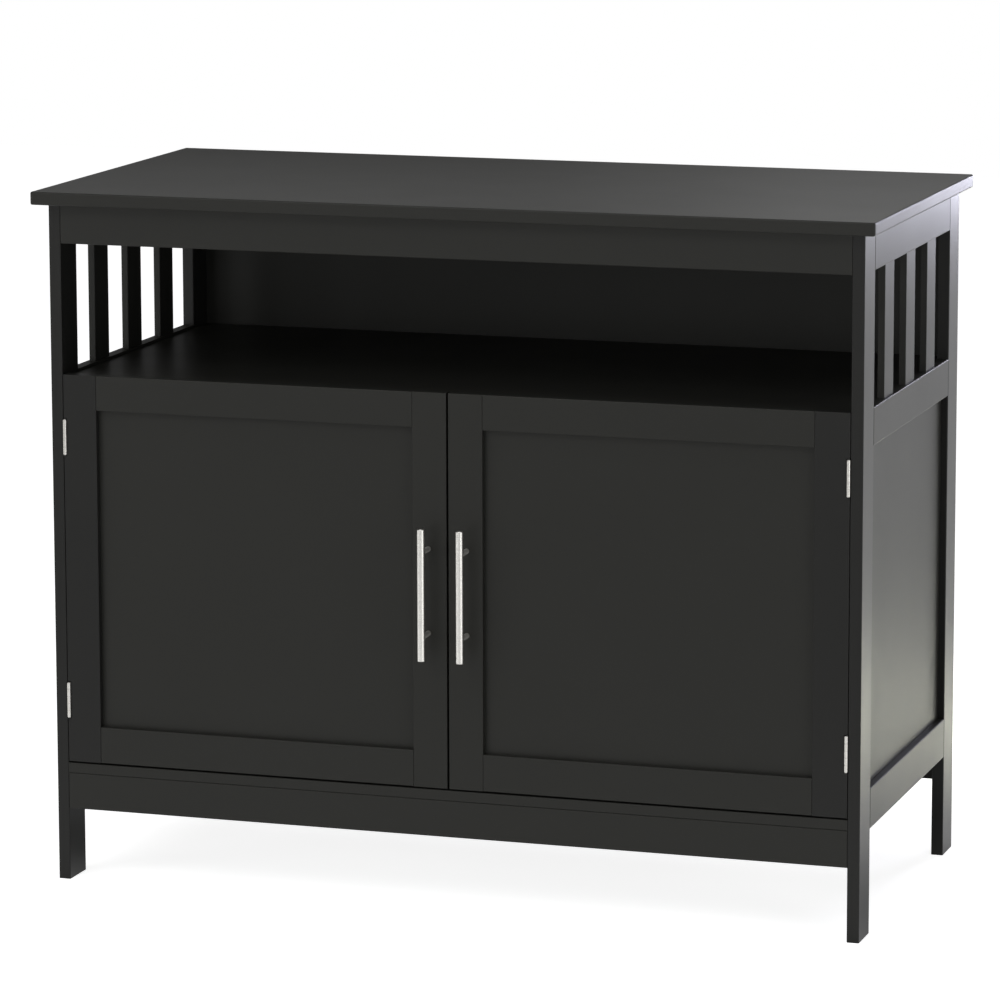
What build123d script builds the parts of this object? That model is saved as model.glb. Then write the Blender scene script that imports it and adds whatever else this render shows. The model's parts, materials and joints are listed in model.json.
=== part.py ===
from build123d import *
import os

# Kitchen sideboard: a top board on four flat legs, an open bay with slatted
# ends under it, and a cabinet below the bay closed by two framed doors.
# Millimetres. X runs along the length, Y from the front to the back, Z up.
# The origin is on the floor, in the middle of the box round the whole object.

os.makedirs("parts", exist_ok=True)

# Overall height and the top board
HEIGHT = 800.0
TOP_LENGTH = 980.0
TOP_DEPTH = 480.0
TOP_THICKNESS = 15.0
TOP_CORNER_R = 3.0
TOP_EDGE_R = 2.0
OVERHANG_SIDE = 15.0
OVERHANG_FRONT = 18.0
OVERHANG_BACK = 6.0

# Boards of the frame
LEG_THICKNESS = 14.0
LEG_WIDTH = 47.0
RAIL_THICKNESS = 14.0
TOP_RAIL_HEIGHT = 45.0
MIDDLE_RAIL_HEIGHT = 43.0
SIDE_RAIL_HEIGHT = 46.0
SIDE_RAIL_DROP = 8.0
BAY_OPENING = 150.0
APRON_FROM_FLOOR = 84.0
APRON_HEIGHT = 42.0
FLOOR_THICKNESS = 12.0
SHELF_THICKNESS = 12.0
SHELF_DROP = 3.5
SHELF_BEHIND_DOOR = 1.0
EASE_R = 1.2

# Glued joints inside a side frame
TENON_LENGTH = 15.0
TENON_THICKNESS = 6.0
TENON_SHOULDER = 8.0
TENON_END_ROOM = 1.0
GLUE_FIT = 0.1

# Slats and panels
SLAT_COUNT = 3
SLAT_WIDTH = 42.0
SLAT_THICKNESS = 8.0
SLAT_HOUSING = 8.0
SLAT_EASE_R = 0.8
SIDE_PANEL_THICKNESS = 6.0
BACK_PANEL_THICKNESS = 3.0
REBATE_WIDTH = 8.0
PANEL_FIT = 0.3

# Doors
DOOR_THICKNESS = 16.0
DOOR_STILE = 40.0
DOOR_TOP_RAIL = 40.0
DOOR_BOTTOM_RAIL = 42.0
DOOR_PANEL_THICKNESS = 5.0
DOOR_PANEL_RECESS = 8.0
DOOR_GROOVE_DEPTH = 8.0
DOOR_TENON_LENGTH = 10.0
DOOR_TENON_THICKNESS = 5.0
DOOR_TENON_SHOULDER = 8.0
DOOR_GAP_MIDDLE = 2.2
DOOR_GAP_HINGE = 0.5
DOOR_GAP_BOTTOM = 2.0
DOOR_EASE_R = 1.0

# Butt hinges
HINGE_LENGTH = 40.0
HINGE_INSET = 52.0
KNUCKLE_COUNT = 5
KNUCKLE_R = 2.1
KNUCKLE_GAP = 0.3
LEAF_WIDTH = 13.0
LEAF_THICKNESS = 1.0
PIN_R = 1.0
PIN_FIT = 0.05
PIN_HEAD_R = 1.6
PIN_HEAD = 0.5
HINGE_PROUD = 0.5
BARREL_ROOM = 0.4
MORTISE_END_ROOM = 1.5
HINGE_SCREW_INSET = 8.0

# Bar handles
HANDLE_LENGTH = 150.0
HANDLE_PITCH = 96.0
HANDLE_R = 4.5
HANDLE_REACH = 25.5
HANDLE_FROM_EDGE = 21.5
HANDLE_END_CHAMFER = 0.6
POST_R = 3.0
POST_HOUSING = 2.0
HANDLE_SCREW_R = 2.0
HANDLE_SCREW_HEAD_R = 4.0
HANDLE_SCREW_HEAD = 2.4
HANDLE_SCREW_GRIP = 8.0

# Small countersunk screw for hinges, strikes, catch and back panel
SCREW_R = 1.25
SCREW_HEAD_R = 2.2
SCREW_LENGTH = 11.0
SCREW_TIP = 2.0
SCREW_ROOM = 0.1

# Long screws that hold the top board from below
TOP_SCREW_R = 2.0
TOP_SCREW_HEAD_R = 4.0
TOP_SCREW_HEAD = 2.5
TOP_SCREW_LENGTH = 28.0
TOP_SCREW_BITE = 10.0
TOP_SCREW_FROM_END = 150.0

# Cam fittings and dowels of the flat-pack joints
CAM_R = 6.0
CAM_DEPTH = 9.5
CAM_AXIS_DEPTH = 6.0
CAM_SETBACK = 24.0
CAM_SLOT_LENGTH = 8.0
CAM_SLOT_WIDTH = 1.4
CAM_SLOT_DEPTH = 1.5
CAM_POCKET = 3.3
BOLT_THREAD_R = 2.5
BOLT_THREAD_LENGTH = 10.0
BOLT_COLLAR_R = 3.5
BOLT_COLLAR = 1.0
BOLT_SHANK_R = 1.75
BOLT_HEAD_R = 3.0
BOLT_HEAD = 2.5
BOLT_HOLE_R = 3.75
DOWEL_R = 3.0
DOWEL_LENGTH = 28.0
DOWEL_IN_SIDE = 9.0
DOWEL_CHAMFER = 0.8
FIXING_PITCH = 20.0
HOLE_FIT = 0.1

# Adjustable shelf on pins
PIN_ROW_COUNT = 3
PIN_ROW_PITCH = 64.0
PIN_ROW_START = 291.0
PIN_FROM_FRONT = 34.0
PIN_FROM_BACK = 26.0
SHELF_PIN_R = 2.5
SHELF_PIN_DEPTH = 8.0
SHELF_PIN_COLLAR_R = 4.0
SHELF_PIN_COLLAR = 1.0
SHELF_PIN_TONGUE = 9.0
SHELF_PIN_TONGUE_WIDTH = 7.0
LOOSE_SHELF_END_ROOM = 1.5
LOOSE_SHELF_SETBACK = 8.0
LOOSE_SHELF_BACK_ROOM = 2.0

# Magnetic catch under the fixed shelf
CATCH_LENGTH = 46.0
CATCH_DEPTH = 24.0
CATCH_HEIGHT = 13.0
CATCH_WALL = 2.0
MAGNET_LENGTH = 14.0
MAGNET_HEIGHT = 5.0
MAGNET_PROUD = 0.6
MAGNET_SPACING = 22.0
CATCH_TO_STRIKE = 0.3
STRIKE_LENGTH = 16.0
STRIKE_HEIGHT = 11.0
STRIKE_THICKNESS = 1.0
CATCH_EAR = 8.0
CATCH_EAR_THICKNESS = 2.5

# Planes of the body, right side; the left side is the mirror image
OUTER_X = TOP_LENGTH / 2 - OVERHANG_SIDE
INNER_X = OUTER_X - LEG_THICKNESS
BODY_DEPTH = TOP_DEPTH - OVERHANG_FRONT - OVERHANG_BACK
TOTAL_DEPTH = HANDLE_REACH + HANDLE_R + BODY_DEPTH + OVERHANG_BACK
FRONT_Y = HANDLE_REACH + HANDLE_R - TOTAL_DEPTH / 2
BACK_Y = FRONT_Y + BODY_DEPTH
LEG_REAR_Y = FRONT_Y + LEG_WIDTH
BACK_LEG_FRONT_Y = BACK_Y - LEG_WIDTH
PANEL_FRONT_Y = BACK_Y - BACK_PANEL_THICKNESS
REAR_RAIL_Y = PANEL_FRONT_Y - RAIL_THICKNESS
SIDE_MIDDLE_X = OUTER_X - LEG_THICKNESS / 2

TOP_Z = HEIGHT - TOP_THICKNESS
TOP_RAIL_Z = TOP_Z - TOP_RAIL_HEIGHT
BAY_Z = TOP_RAIL_Z - BAY_OPENING
MIDDLE_RAIL_Z = BAY_Z - MIDDLE_RAIL_HEIGHT
APRON_TOP_Z = APRON_FROM_FLOOR + APRON_HEIGHT
FLOOR_Z = APRON_TOP_Z + FLOOR_THICKNESS
SIDE_RAIL_Z = APRON_TOP_Z - SIDE_RAIL_DROP
SIDE_RAIL_TOP_Z = SIDE_RAIL_Z + SIDE_RAIL_HEIGHT
SHELF_TOP_Z = BAY_Z - SHELF_DROP
SHELF_Z = SHELF_TOP_Z - SHELF_THICKNESS
DOOR_Z = FLOOR_Z + DOOR_GAP_BOTTOM
DOOR_TOP_Z = BAY_Z
DOOR_BACK_Y = FRONT_Y + DOOR_THICKNESS
DOOR_NEAR_X = DOOR_GAP_MIDDLE / 2
DOOR_FAR_X = INNER_X - DOOR_GAP_HINGE
SHELF_FRONT_Y = DOOR_BACK_Y + SHELF_BEHIND_DOOR

SIDE_SPAN = BACK_LEG_FRONT_Y - LEG_REAR_Y
SLOT_WIDTH = (SIDE_SPAN - SLAT_COUNT * SLAT_WIDTH) / (SLAT_COUNT + 1)
SLAT_PITCH = SLAT_WIDTH + SLOT_WIDTH
SLOT_YS = [LEG_REAR_Y + SLOT_WIDTH / 2 + i * SLAT_PITCH for i in range(SLAT_COUNT + 1)]
SLAT_YS = [LEG_REAR_Y + SLOT_WIDTH + SLAT_WIDTH / 2 + i * SLAT_PITCH for i in range(SLAT_COUNT)]

HINGE_X = INNER_X - KNUCKLE_R
HINGE_Y = FRONT_Y - HINGE_PROUD
HINGE_BOTTOMS = [DOOR_Z + HINGE_INSET, DOOR_TOP_Z - HINGE_INSET - HINGE_LENGTH]
DOOR_SEAT_X = INNER_X - 2 * KNUCKLE_R
LEAF_FRONT_Y = HINGE_Y + KNUCKLE_R + BARREL_ROOM
LEAF_BACK_Y = HINGE_Y + LEAF_WIDTH
LEAF_SCREW_Y = (LEAF_FRONT_Y + LEAF_BACK_Y) / 2
HINGE_SCREW_ZS = [
    z + offset
    for z in HINGE_BOTTOMS
    for offset in (HINGE_SCREW_INSET, HINGE_LENGTH - HINGE_SCREW_INSET)
]

HANDLE_X = DOOR_NEAR_X + HANDLE_FROM_EDGE
HANDLE_Y = FRONT_Y - HANDLE_REACH
HANDLE_Z = (DOOR_Z + DOOR_TOP_Z) / 2
POST_ZS = [HANDLE_Z - HANDLE_PITCH / 2, HANDLE_Z + HANDLE_PITCH / 2]


def board(low, high, mode=Mode.ADD):
    """A rectangular board, or a cut of that shape, between two opposite corners."""
    size = [b - a for a, b in zip(low, high)]
    with Locations(tuple((a + b) / 2 for a, b in zip(low, high))):
        Box(*size, mode=mode)


def ease(piece, axis, end, radius):
    """Rounds the edges of a board's seen face, which is its last (-1) or first (0) along an axis."""
    fillet(piece.faces().sort_by(axis)[end].edges(), radius)


def save(piece, name):
    """Labels a finished piece and writes it under its own name."""
    piece.part.label = name
    export_step(piece.part, f"parts/{name}.step")


def save_pair(piece, name):
    """Writes the right-hand piece and its mirror image for the left side."""
    save(piece, f"right_{name}")
    with BuildPart() as other:
        mirror(piece.part, about=Plane.YZ)
    save(other, f"left_{name}")


# Flat-pack joints at the right-hand ends. A cam is (y and z of its bolt, the way its mouth faces).
def rail_cam(mouth_y, facing, z, height):
    return (mouth_y - facing * CAM_AXIS_DEPTH, z + (height - FIXING_PITCH) / 2, (0, facing, 0))


def rail_dowel(y, z, height):
    return (y + RAIL_THICKNESS / 2, z + (height + FIXING_PITCH) / 2)


def board_cams(z):
    return [(y, z + CAM_AXIS_DEPTH, (0, 0, -1)) for y in (SLOT_YS[0], SLOT_YS[-1])]


def board_dowels(z, thickness):
    return [(y, z + thickness / 2) for y in (SLOT_YS[1], SLOT_YS[-2])]


FRONT_MOUTH_Y = FRONT_Y + RAIL_THICKNESS
CAMS = {
    "front_top_rail": [rail_cam(FRONT_MOUTH_Y, 1, TOP_RAIL_Z, TOP_RAIL_HEIGHT)],
    "front_apron": [rail_cam(FRONT_MOUTH_Y, 1, APRON_FROM_FLOOR, APRON_HEIGHT)],
    "back_top_rail": [rail_cam(REAR_RAIL_Y, -1, TOP_RAIL_Z, TOP_RAIL_HEIGHT)],
    "back_bottom_rail": [rail_cam(REAR_RAIL_Y, -1, APRON_FROM_FLOOR, APRON_HEIGHT)],
    "bay_shelf": board_cams(SHELF_Z),
    "cabinet_floor": board_cams(APRON_TOP_Z),
}
DOWELS = {
    "front_top_rail": [rail_dowel(FRONT_Y, TOP_RAIL_Z, TOP_RAIL_HEIGHT)],
    "front_apron": [rail_dowel(FRONT_Y, APRON_FROM_FLOOR, APRON_HEIGHT)],
    "back_top_rail": [rail_dowel(REAR_RAIL_Y, TOP_RAIL_Z, TOP_RAIL_HEIGHT)],
    "back_bottom_rail": [rail_dowel(REAR_RAIL_Y, APRON_FROM_FLOOR, APRON_HEIGHT)],
    "bay_shelf": board_dowels(SHELF_Z, SHELF_THICKNESS),
    "cabinet_floor": board_dowels(APRON_TOP_Z, FLOOR_THICKNESS),
}


def drill_side(names):
    """Bolt and dowel holes in a side piece, from its inner face."""
    for name in names:
        for y, z, _ in CAMS[name]:
            with Locations(Plane((INNER_X, y, z), z_dir=(-1, 0, 0))):
                Hole(BOLT_THREAD_R + HOLE_FIT, BOLT_THREAD_LENGTH + HOLE_FIT)
        for y, z in DOWELS[name]:
            with Locations(Plane((INNER_X, y, z), z_dir=(-1, 0, 0))):
                Hole(DOWEL_R + HOLE_FIT, DOWEL_IN_SIDE + HOLE_FIT)


def cam_mouth(side, y, z, facing):
    """Plane of a cam's face, with X along the bolt."""
    origin = (
        side * (INNER_X - CAM_SETBACK),
        y + facing[1] * CAM_AXIS_DEPTH,
        z + facing[2] * CAM_AXIS_DEPTH,
    )
    return Plane(origin, x_dir=(side, 0, 0), z_dir=facing)


def drill_ends(name):
    """Cam, bolt and dowel holes at both ends of a board or rail."""
    for side in (1, -1):
        for y, z, facing in CAMS[name]:
            with Locations(cam_mouth(side, y, z, facing)):
                Hole(CAM_R + HOLE_FIT, CAM_DEPTH + HOLE_FIT)
            with Locations(Plane((side * INNER_X, y, z), z_dir=(side, 0, 0))):
                Hole(BOLT_HOLE_R, CAM_SETBACK)
        for y, z in DOWELS[name]:
            with Locations(Plane((side * INNER_X, y, z), z_dir=(side, 0, 0))):
                Hole(DOWEL_R + HOLE_FIT, DOWEL_LENGTH - DOWEL_IN_SIDE + HOLE_FIT)


# Screw places. Each is a plane at the screw's head, facing the way the head looks.
TOP_SCREW_XS = (-INNER_X + TOP_SCREW_FROM_END, INNER_X - TOP_SCREW_FROM_END)
TOP_SCREW_YS = (SLOT_YS[0], SLOT_YS[-1])
TOP_SCREW_HEAD_Z = TOP_Z + TOP_SCREW_BITE - TOP_SCREW_LENGTH
PANEL_SCREWS = [
    Plane((x, BACK_Y, z), z_dir=(0, 1, 0))
    for z in (
        TOP_RAIL_Z + TOP_RAIL_HEIGHT / 2,
        SHELF_Z + SHELF_THICKNESS / 2,
        APRON_FROM_FLOOR + APRON_HEIGHT / 2,
    )
    for x in (-INNER_X * 0.6, 0.0, INNER_X * 0.6)
]
CATCH_FRONT_Y = DOOR_BACK_Y + STRIKE_THICKNESS + CATCH_TO_STRIKE + MAGNET_PROUD
CATCH_MIDDLE_Y = CATCH_FRONT_Y + CATCH_DEPTH / 2
CATCH_EAR_Z = SHELF_Z - CATCH_EAR_THICKNESS
CATCH_SCREWS = [
    Plane((side * (CATCH_LENGTH + CATCH_EAR) / 2, CATCH_MIDDLE_Y, CATCH_EAR_Z), z_dir=(0, 0, -1))
    for side in (1, -1)
]
STRIKE_Z = SHELF_Z - CATCH_HEIGHT / 2
STRIKE_X = MAGNET_SPACING / 2
FRAME_LEAF_X = INNER_X - LEAF_THICKNESS
FRAME_SCREWS = [Plane((FRAME_LEAF_X, LEAF_SCREW_Y, z), z_dir=(-1, 0, 0)) for z in HINGE_SCREW_ZS]
DOOR_LEAF_X = DOOR_SEAT_X + LEAF_THICKNESS
DOOR_SCREWS = [Plane((DOOR_LEAF_X, LEAF_SCREW_Y, z), z_dir=(1, 0, 0)) for z in HINGE_SCREW_ZS]


def drill_screws(places, through):
    """Pilot holes for countersunk screws whose heads sit 'through' millimetres outside this piece."""
    for place in places:
        with Locations(place.offset(-through)):
            Hole(SCREW_R + HOLE_FIT, SCREW_LENGTH - through + HOLE_FIT)


def sink_screws(places):
    """Countersunk clearance holes through a thin piece."""
    shank_r = SCREW_R + SCREW_ROOM
    head_r = SCREW_HEAD_R + SCREW_ROOM
    with Locations(*places):
        CounterSinkHole(shank_r, head_r, SCREW_LENGTH, counter_sink_angle=90)


# Top board
TOP_BACK_Y = BACK_Y + OVERHANG_BACK
TOP_FRONT_Y = FRONT_Y - OVERHANG_FRONT
with BuildPart() as top_panel:
    board((-TOP_LENGTH / 2, TOP_FRONT_Y, TOP_Z), (TOP_LENGTH / 2, TOP_BACK_Y, HEIGHT))
    fillet(top_panel.edges().filter_by(Axis.Z), TOP_CORNER_R)
    fillet(top_panel.faces().sort_by(Axis.Z)[-1].edges(), TOP_EDGE_R)
    fillet(top_panel.faces().sort_by(Axis.Z)[0].edges(), TOP_EDGE_R)
    rail_spots = [(x, y + RAIL_THICKNESS / 2) for x in TOP_SCREW_XS for y in (FRONT_Y, REAR_RAIL_Y)]
    side_spots = [(x, y) for x in (-SIDE_MIDDLE_X, SIDE_MIDDLE_X) for y in TOP_SCREW_YS]
    TOP_SCREW_SPOTS = rail_spots + side_spots
    for x, y in TOP_SCREW_SPOTS:
        with Locations(Plane((x, y, TOP_Z), z_dir=(0, 0, -1))):
            Hole(TOP_SCREW_R + HOLE_FIT, TOP_SCREW_BITE + HOLE_FIT)
save(top_panel, "top_panel")


def screw_wells(spots):
    """Counterbored holes up through a rail for the screws of the top board."""
    for x, y in spots:
        with Locations(Plane((x, y, TOP_RAIL_Z), z_dir=(0, 0, -1))):
            Hole(TOP_SCREW_R + HOLE_FIT, TOP_RAIL_HEIGHT)
            Hole(TOP_SCREW_HEAD_R + HOLE_FIT, TOP_SCREW_HEAD_Z + TOP_SCREW_HEAD - TOP_RAIL_Z)


# Side rails, with tenons that enter the legs
SIDE_RAILS = {
    "top_side_rail": (TOP_RAIL_Z, TOP_Z),
    "middle_side_rail": (MIDDLE_RAIL_Z, BAY_Z),
    "bottom_side_rail": (SIDE_RAIL_Z, SIDE_RAIL_TOP_Z),
}


def tenon_box(z_low, z_high, reach, room):
    """Opposite corners of the tenons of one rail, run through from leg to leg."""
    half = TENON_THICKNESS / 2 + room
    low = (SIDE_MIDDLE_X - half, LEG_REAR_Y - reach, z_low + TENON_SHOULDER - room)
    high = (SIDE_MIDDLE_X + half, BACK_LEG_FRONT_Y + reach, z_high - TENON_SHOULDER + room)
    return low, high


def rebate_box(room):
    """Opposite corners of the side panel's seat, or of the panel itself when there is room round it."""
    low = (INNER_X, LEG_REAR_Y - REBATE_WIDTH + room, SIDE_RAIL_TOP_Z - REBATE_WIDTH + room)
    high = (
        INNER_X + SIDE_PANEL_THICKNESS,
        BACK_LEG_FRONT_Y + REBATE_WIDTH - room,
        MIDDLE_RAIL_Z + REBATE_WIDTH - room,
    )
    return low, high


def slat_box(y, room, end_room):
    """Opposite corners of a slat, or of the housings for its two ends."""
    low = (
        SIDE_MIDDLE_X - SLAT_THICKNESS / 2 - room,
        y - SLAT_WIDTH / 2 - room,
        BAY_Z - SLAT_HOUSING - end_room,
    )
    high = (
        SIDE_MIDDLE_X + SLAT_THICKNESS / 2 + room,
        y + SLAT_WIDTH / 2 + room,
        TOP_RAIL_Z + SLAT_HOUSING + end_room,
    )
    return low, high


# Front and back legs
for stem, near_y, far_y, carried in (
    ("front_leg", FRONT_Y, LEG_REAR_Y, ("front_top_rail", "front_apron")),
    ("back_leg", BACK_LEG_FRONT_Y, BACK_Y, ("back_top_rail", "back_bottom_rail")),
):
    with BuildPart() as leg:
        board((INNER_X, near_y, 0), (OUTER_X, far_y, TOP_Z))
        fillet(leg.edges().filter_by(Axis.Z), EASE_R)
        for z_low, z_high in SIDE_RAILS.values():
            mortise = tenon_box(z_low, z_high, TENON_LENGTH + TENON_END_ROOM, GLUE_FIT)
            board(*mortise, mode=Mode.SUBTRACT)
        board(*rebate_box(0), mode=Mode.SUBTRACT)
        drill_side(carried)
        pin_y = FRONT_Y + PIN_FROM_FRONT if stem == "front_leg" else BACK_Y - PIN_FROM_BACK
        for row in range(PIN_ROW_COUNT):
            pin_z = PIN_ROW_START + row * PIN_ROW_PITCH
            with Locations(Plane((INNER_X, pin_y, pin_z), z_dir=(-1, 0, 0))):
                Hole(SHELF_PIN_R + HOLE_FIT, SHELF_PIN_DEPTH + HOLE_FIT)
        if stem == "front_leg":
            drill_screws(FRAME_SCREWS, LEAF_THICKNESS)
        else:
            board(
                (INNER_X, PANEL_FRONT_Y, APRON_FROM_FLOOR),
                (INNER_X + REBATE_WIDTH, BACK_Y, TOP_Z),
                mode=Mode.SUBTRACT,
            )
    save_pair(leg, stem)

# Side rails
for stem, (z_low, z_high) in SIDE_RAILS.items():
    with BuildPart() as rail:
        board((INNER_X, LEG_REAR_Y, z_low), (OUTER_X, BACK_LEG_FRONT_Y, z_high))
        ease(rail, Axis.X, -1, EASE_R)
        board(*tenon_box(z_low, z_high, TENON_LENGTH, 0))
        board(*rebate_box(0), mode=Mode.SUBTRACT)
        if stem != "bottom_side_rail":
            for y in SLAT_YS:
                board(*slat_box(y, GLUE_FIT, GLUE_FIT), mode=Mode.SUBTRACT)
        if stem == "top_side_rail":
            screw_wells([(SIDE_MIDDLE_X, y) for y in TOP_SCREW_YS])
        if stem == "middle_side_rail":
            drill_side(["bay_shelf"])
        if stem == "bottom_side_rail":
            drill_side(["cabinet_floor"])
    save_pair(rail, stem)

# Slats of the bay ends, counted from the front
for number, y in enumerate(SLAT_YS, start=1):
    with BuildPart() as slat:
        board(*slat_box(y, 0, 0))
        fillet(slat.edges().filter_by(Axis.Z), SLAT_EASE_R)
    save_pair(slat, f"slat_{number}")

# Side panels of the cabinet
with BuildPart() as side_panel:
    board(*rebate_box(PANEL_FIT))
save_pair(side_panel, "side_panel")

# Rails between the side frames, drilled for cams, dowels and the top board's screws
for name, near_y, z_low, z_high in (
    ("front_top_rail", FRONT_Y, TOP_RAIL_Z, TOP_Z),
    ("front_apron", FRONT_Y, APRON_FROM_FLOOR, APRON_TOP_Z),
    ("back_top_rail", REAR_RAIL_Y, TOP_RAIL_Z, TOP_Z),
    ("back_bottom_rail", REAR_RAIL_Y, APRON_FROM_FLOOR, APRON_TOP_Z),
):
    with BuildPart() as cross_rail:
        board((-INNER_X, near_y, z_low), (INNER_X, near_y + RAIL_THICKNESS, z_high))
        ease(cross_rail, Axis.Y, 0 if near_y == FRONT_Y else -1, EASE_R)
        drill_ends(name)
        if z_high == TOP_Z:
            screw_wells([(x, near_y + RAIL_THICKNESS / 2) for x in TOP_SCREW_XS])
        if near_y == REAR_RAIL_Y:
            rows = [p for p in PANEL_SCREWS if z_low < p.origin.Z < z_high]
            drill_screws(rows, BACK_PANEL_THICKNESS)
    save(cross_rail, name)

# Fixed shelf, the floor of the bay
with BuildPart() as bay_shelf:
    board((-INNER_X, SHELF_FRONT_Y, SHELF_Z), (INNER_X, PANEL_FRONT_Y, SHELF_TOP_Z))
    fillet(bay_shelf.edges().filter_by(Axis.X).group_by(Axis.Y)[0], EASE_R)
    drill_ends("bay_shelf")
    drill_screws([p for p in PANEL_SCREWS if SHELF_Z < p.origin.Z < SHELF_TOP_Z], BACK_PANEL_THICKNESS)
    drill_screws(CATCH_SCREWS, CATCH_EAR_THICKNESS)
save(bay_shelf, "bay_shelf")

# Floor of the cabinet, whose front edge shows above the apron
with BuildPart() as cabinet_floor:
    board((-INNER_X, FRONT_Y, APRON_TOP_Z), (INNER_X, PANEL_FRONT_Y, FLOOR_Z))
    fillet(cabinet_floor.edges().filter_by(Axis.X).group_by(Axis.Y)[0], EASE_R)
    drill_ends("cabinet_floor")
save(cabinet_floor, "cabinet_floor")

# Adjustable shelf on the middle row of pin holes
PIN_Z = PIN_ROW_START + (PIN_ROW_COUNT // 2) * PIN_ROW_PITCH
LOOSE_SHELF_X = INNER_X - LOOSE_SHELF_END_ROOM
LOOSE_SHELF_Z = PIN_Z + SHELF_PIN_R
with BuildPart() as adjustable_shelf:
    board(
        (-LOOSE_SHELF_X, DOOR_BACK_Y + LOOSE_SHELF_SETBACK, LOOSE_SHELF_Z),
        (LOOSE_SHELF_X, PANEL_FRONT_Y - LOOSE_SHELF_BACK_ROOM, LOOSE_SHELF_Z + SHELF_THICKNESS),
    )
    fillet(adjustable_shelf.edges().filter_by(Axis.X).group_by(Axis.Y)[0], EASE_R)
save(adjustable_shelf, "adjustable_shelf")

# Shelf pins: a round plug in the leg, a collar, and a flat tongue under the shelf
PIN_YS = (FRONT_Y + PIN_FROM_FRONT, BACK_Y - PIN_FROM_BACK)
with BuildPart() as shelf_pins:
    for y in PIN_YS:
        for facing, radius, length in (
            (1, SHELF_PIN_R, SHELF_PIN_DEPTH),
            (-1, SHELF_PIN_COLLAR_R, SHELF_PIN_COLLAR),
        ):
            with Locations(Plane((INNER_X, y, PIN_Z), z_dir=(facing, 0, 0))):
                Cylinder(radius, length, align=(Align.CENTER, Align.CENTER, Align.MIN))
        board(
            (INNER_X - SHELF_PIN_TONGUE, y - SHELF_PIN_TONGUE_WIDTH / 2, PIN_Z),
            (INNER_X - SHELF_PIN_COLLAR, y + SHELF_PIN_TONGUE_WIDTH / 2, LOOSE_SHELF_Z),
        )
    mirror(about=Plane.YZ)
save(shelf_pins, "shelf_pins")

# Back panel in the rebates of the back legs
BACK_PANEL_X = INNER_X + REBATE_WIDTH - PANEL_FIT
with BuildPart() as back_panel:
    board((-BACK_PANEL_X, PANEL_FRONT_Y, APRON_FROM_FLOOR), (BACK_PANEL_X, BACK_Y, TOP_Z))
    sink_screws(PANEL_SCREWS)
save(back_panel, "back_panel")

# Cam locks: a zinc drum with a cross slot in its face and a pocket for the bolt's head
with BuildPart() as cam:
    Cylinder(CAM_R, CAM_DEPTH, align=(Align.CENTER, Align.CENTER, Align.MAX))
    with BuildSketch(Plane.XY):
        Rectangle(CAM_SLOT_LENGTH, CAM_SLOT_WIDTH)
        Rectangle(CAM_SLOT_WIDTH, CAM_SLOT_LENGTH)
    extrude(amount=-CAM_SLOT_DEPTH, mode=Mode.SUBTRACT)
    board(
        (-BOLT_HEAD_R, -CAM_POCKET, -CAM_DEPTH),
        (CAM_R, CAM_POCKET, CAM_POCKET - CAM_AXIS_DEPTH),
        mode=Mode.SUBTRACT,
    )

with BuildPart() as cam_locks:
    mouths = [cam_mouth(1, *joint) for joints in CAMS.values() for joint in joints]
    with Locations(*mouths):
        add(cam.part)
    mirror(about=Plane.YZ)
save(cam_locks, "cam_locks")

# Cam bolts: thread in the side piece, collar at its face, head in the cam
HEAD_START = CAM_SETBACK - BOLT_HEAD / 2
with BuildPart() as bolt:
    with BuildSketch(Plane.XZ):
        with BuildLine():
            Polyline(
                (0, -BOLT_THREAD_LENGTH),
                (BOLT_THREAD_R, -BOLT_THREAD_LENGTH),
                (BOLT_THREAD_R, 0),
                (BOLT_COLLAR_R, 0),
                (BOLT_COLLAR_R, BOLT_COLLAR),
                (BOLT_SHANK_R, BOLT_COLLAR),
                (BOLT_SHANK_R, HEAD_START),
                (BOLT_HEAD_R, HEAD_START),
                (BOLT_HEAD_R, HEAD_START + BOLT_HEAD),
                (0, HEAD_START + BOLT_HEAD),
                close=True,
            )
        make_face()
    revolve(axis=Axis.Z)

with BuildPart() as cam_bolts:
    for joints in CAMS.values():
        for y, z, _ in joints:
            with Locations(Plane((INNER_X, y, z), z_dir=(-1, 0, 0))):
                add(bolt.part)
    mirror(about=Plane.YZ)
save(cam_bolts, "cam_bolts")

# Wooden dowels beside the cams
with BuildPart() as dowel:
    with Locations((0, 0, -DOWEL_IN_SIDE)):
        Cylinder(DOWEL_R, DOWEL_LENGTH, align=(Align.CENTER, Align.CENTER, Align.MIN))
    chamfer(dowel.edges().filter_by(GeomType.CIRCLE), DOWEL_CHAMFER)

with BuildPart() as dowels:
    for spots in DOWELS.values():
        for y, z in spots:
            with Locations(Plane((INNER_X, y, z), z_dir=(-1, 0, 0))):
                add(dowel.part)
    mirror(about=Plane.YZ)
save(dowels, "dowels")

# Screws up through the rails into the top board
with BuildPart() as top_screws:
    with Locations(*[(x, y, TOP_SCREW_HEAD_Z) for x, y in TOP_SCREW_SPOTS]):
        Cylinder(TOP_SCREW_R, TOP_SCREW_LENGTH, align=(Align.CENTER, Align.CENTER, Align.MIN))
        Cylinder(TOP_SCREW_HEAD_R, TOP_SCREW_HEAD, align=(Align.CENTER, Align.CENTER, Align.MIN))
save(top_screws, "top_screws")

# Small countersunk screw, its head in the plane of its place
SCREW_HEAD = SCREW_HEAD_R - SCREW_R
with BuildPart() as small_screw:
    with BuildSketch(Plane.XZ):
        with BuildLine():
            Polyline(
                (0, 0),
                (SCREW_HEAD_R, 0),
                (SCREW_R, -SCREW_HEAD),
                (SCREW_R, SCREW_TIP - SCREW_LENGTH),
                (0, -SCREW_LENGTH),
                close=True,
            )
        make_face()
    revolve(axis=Axis.Z)

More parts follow.
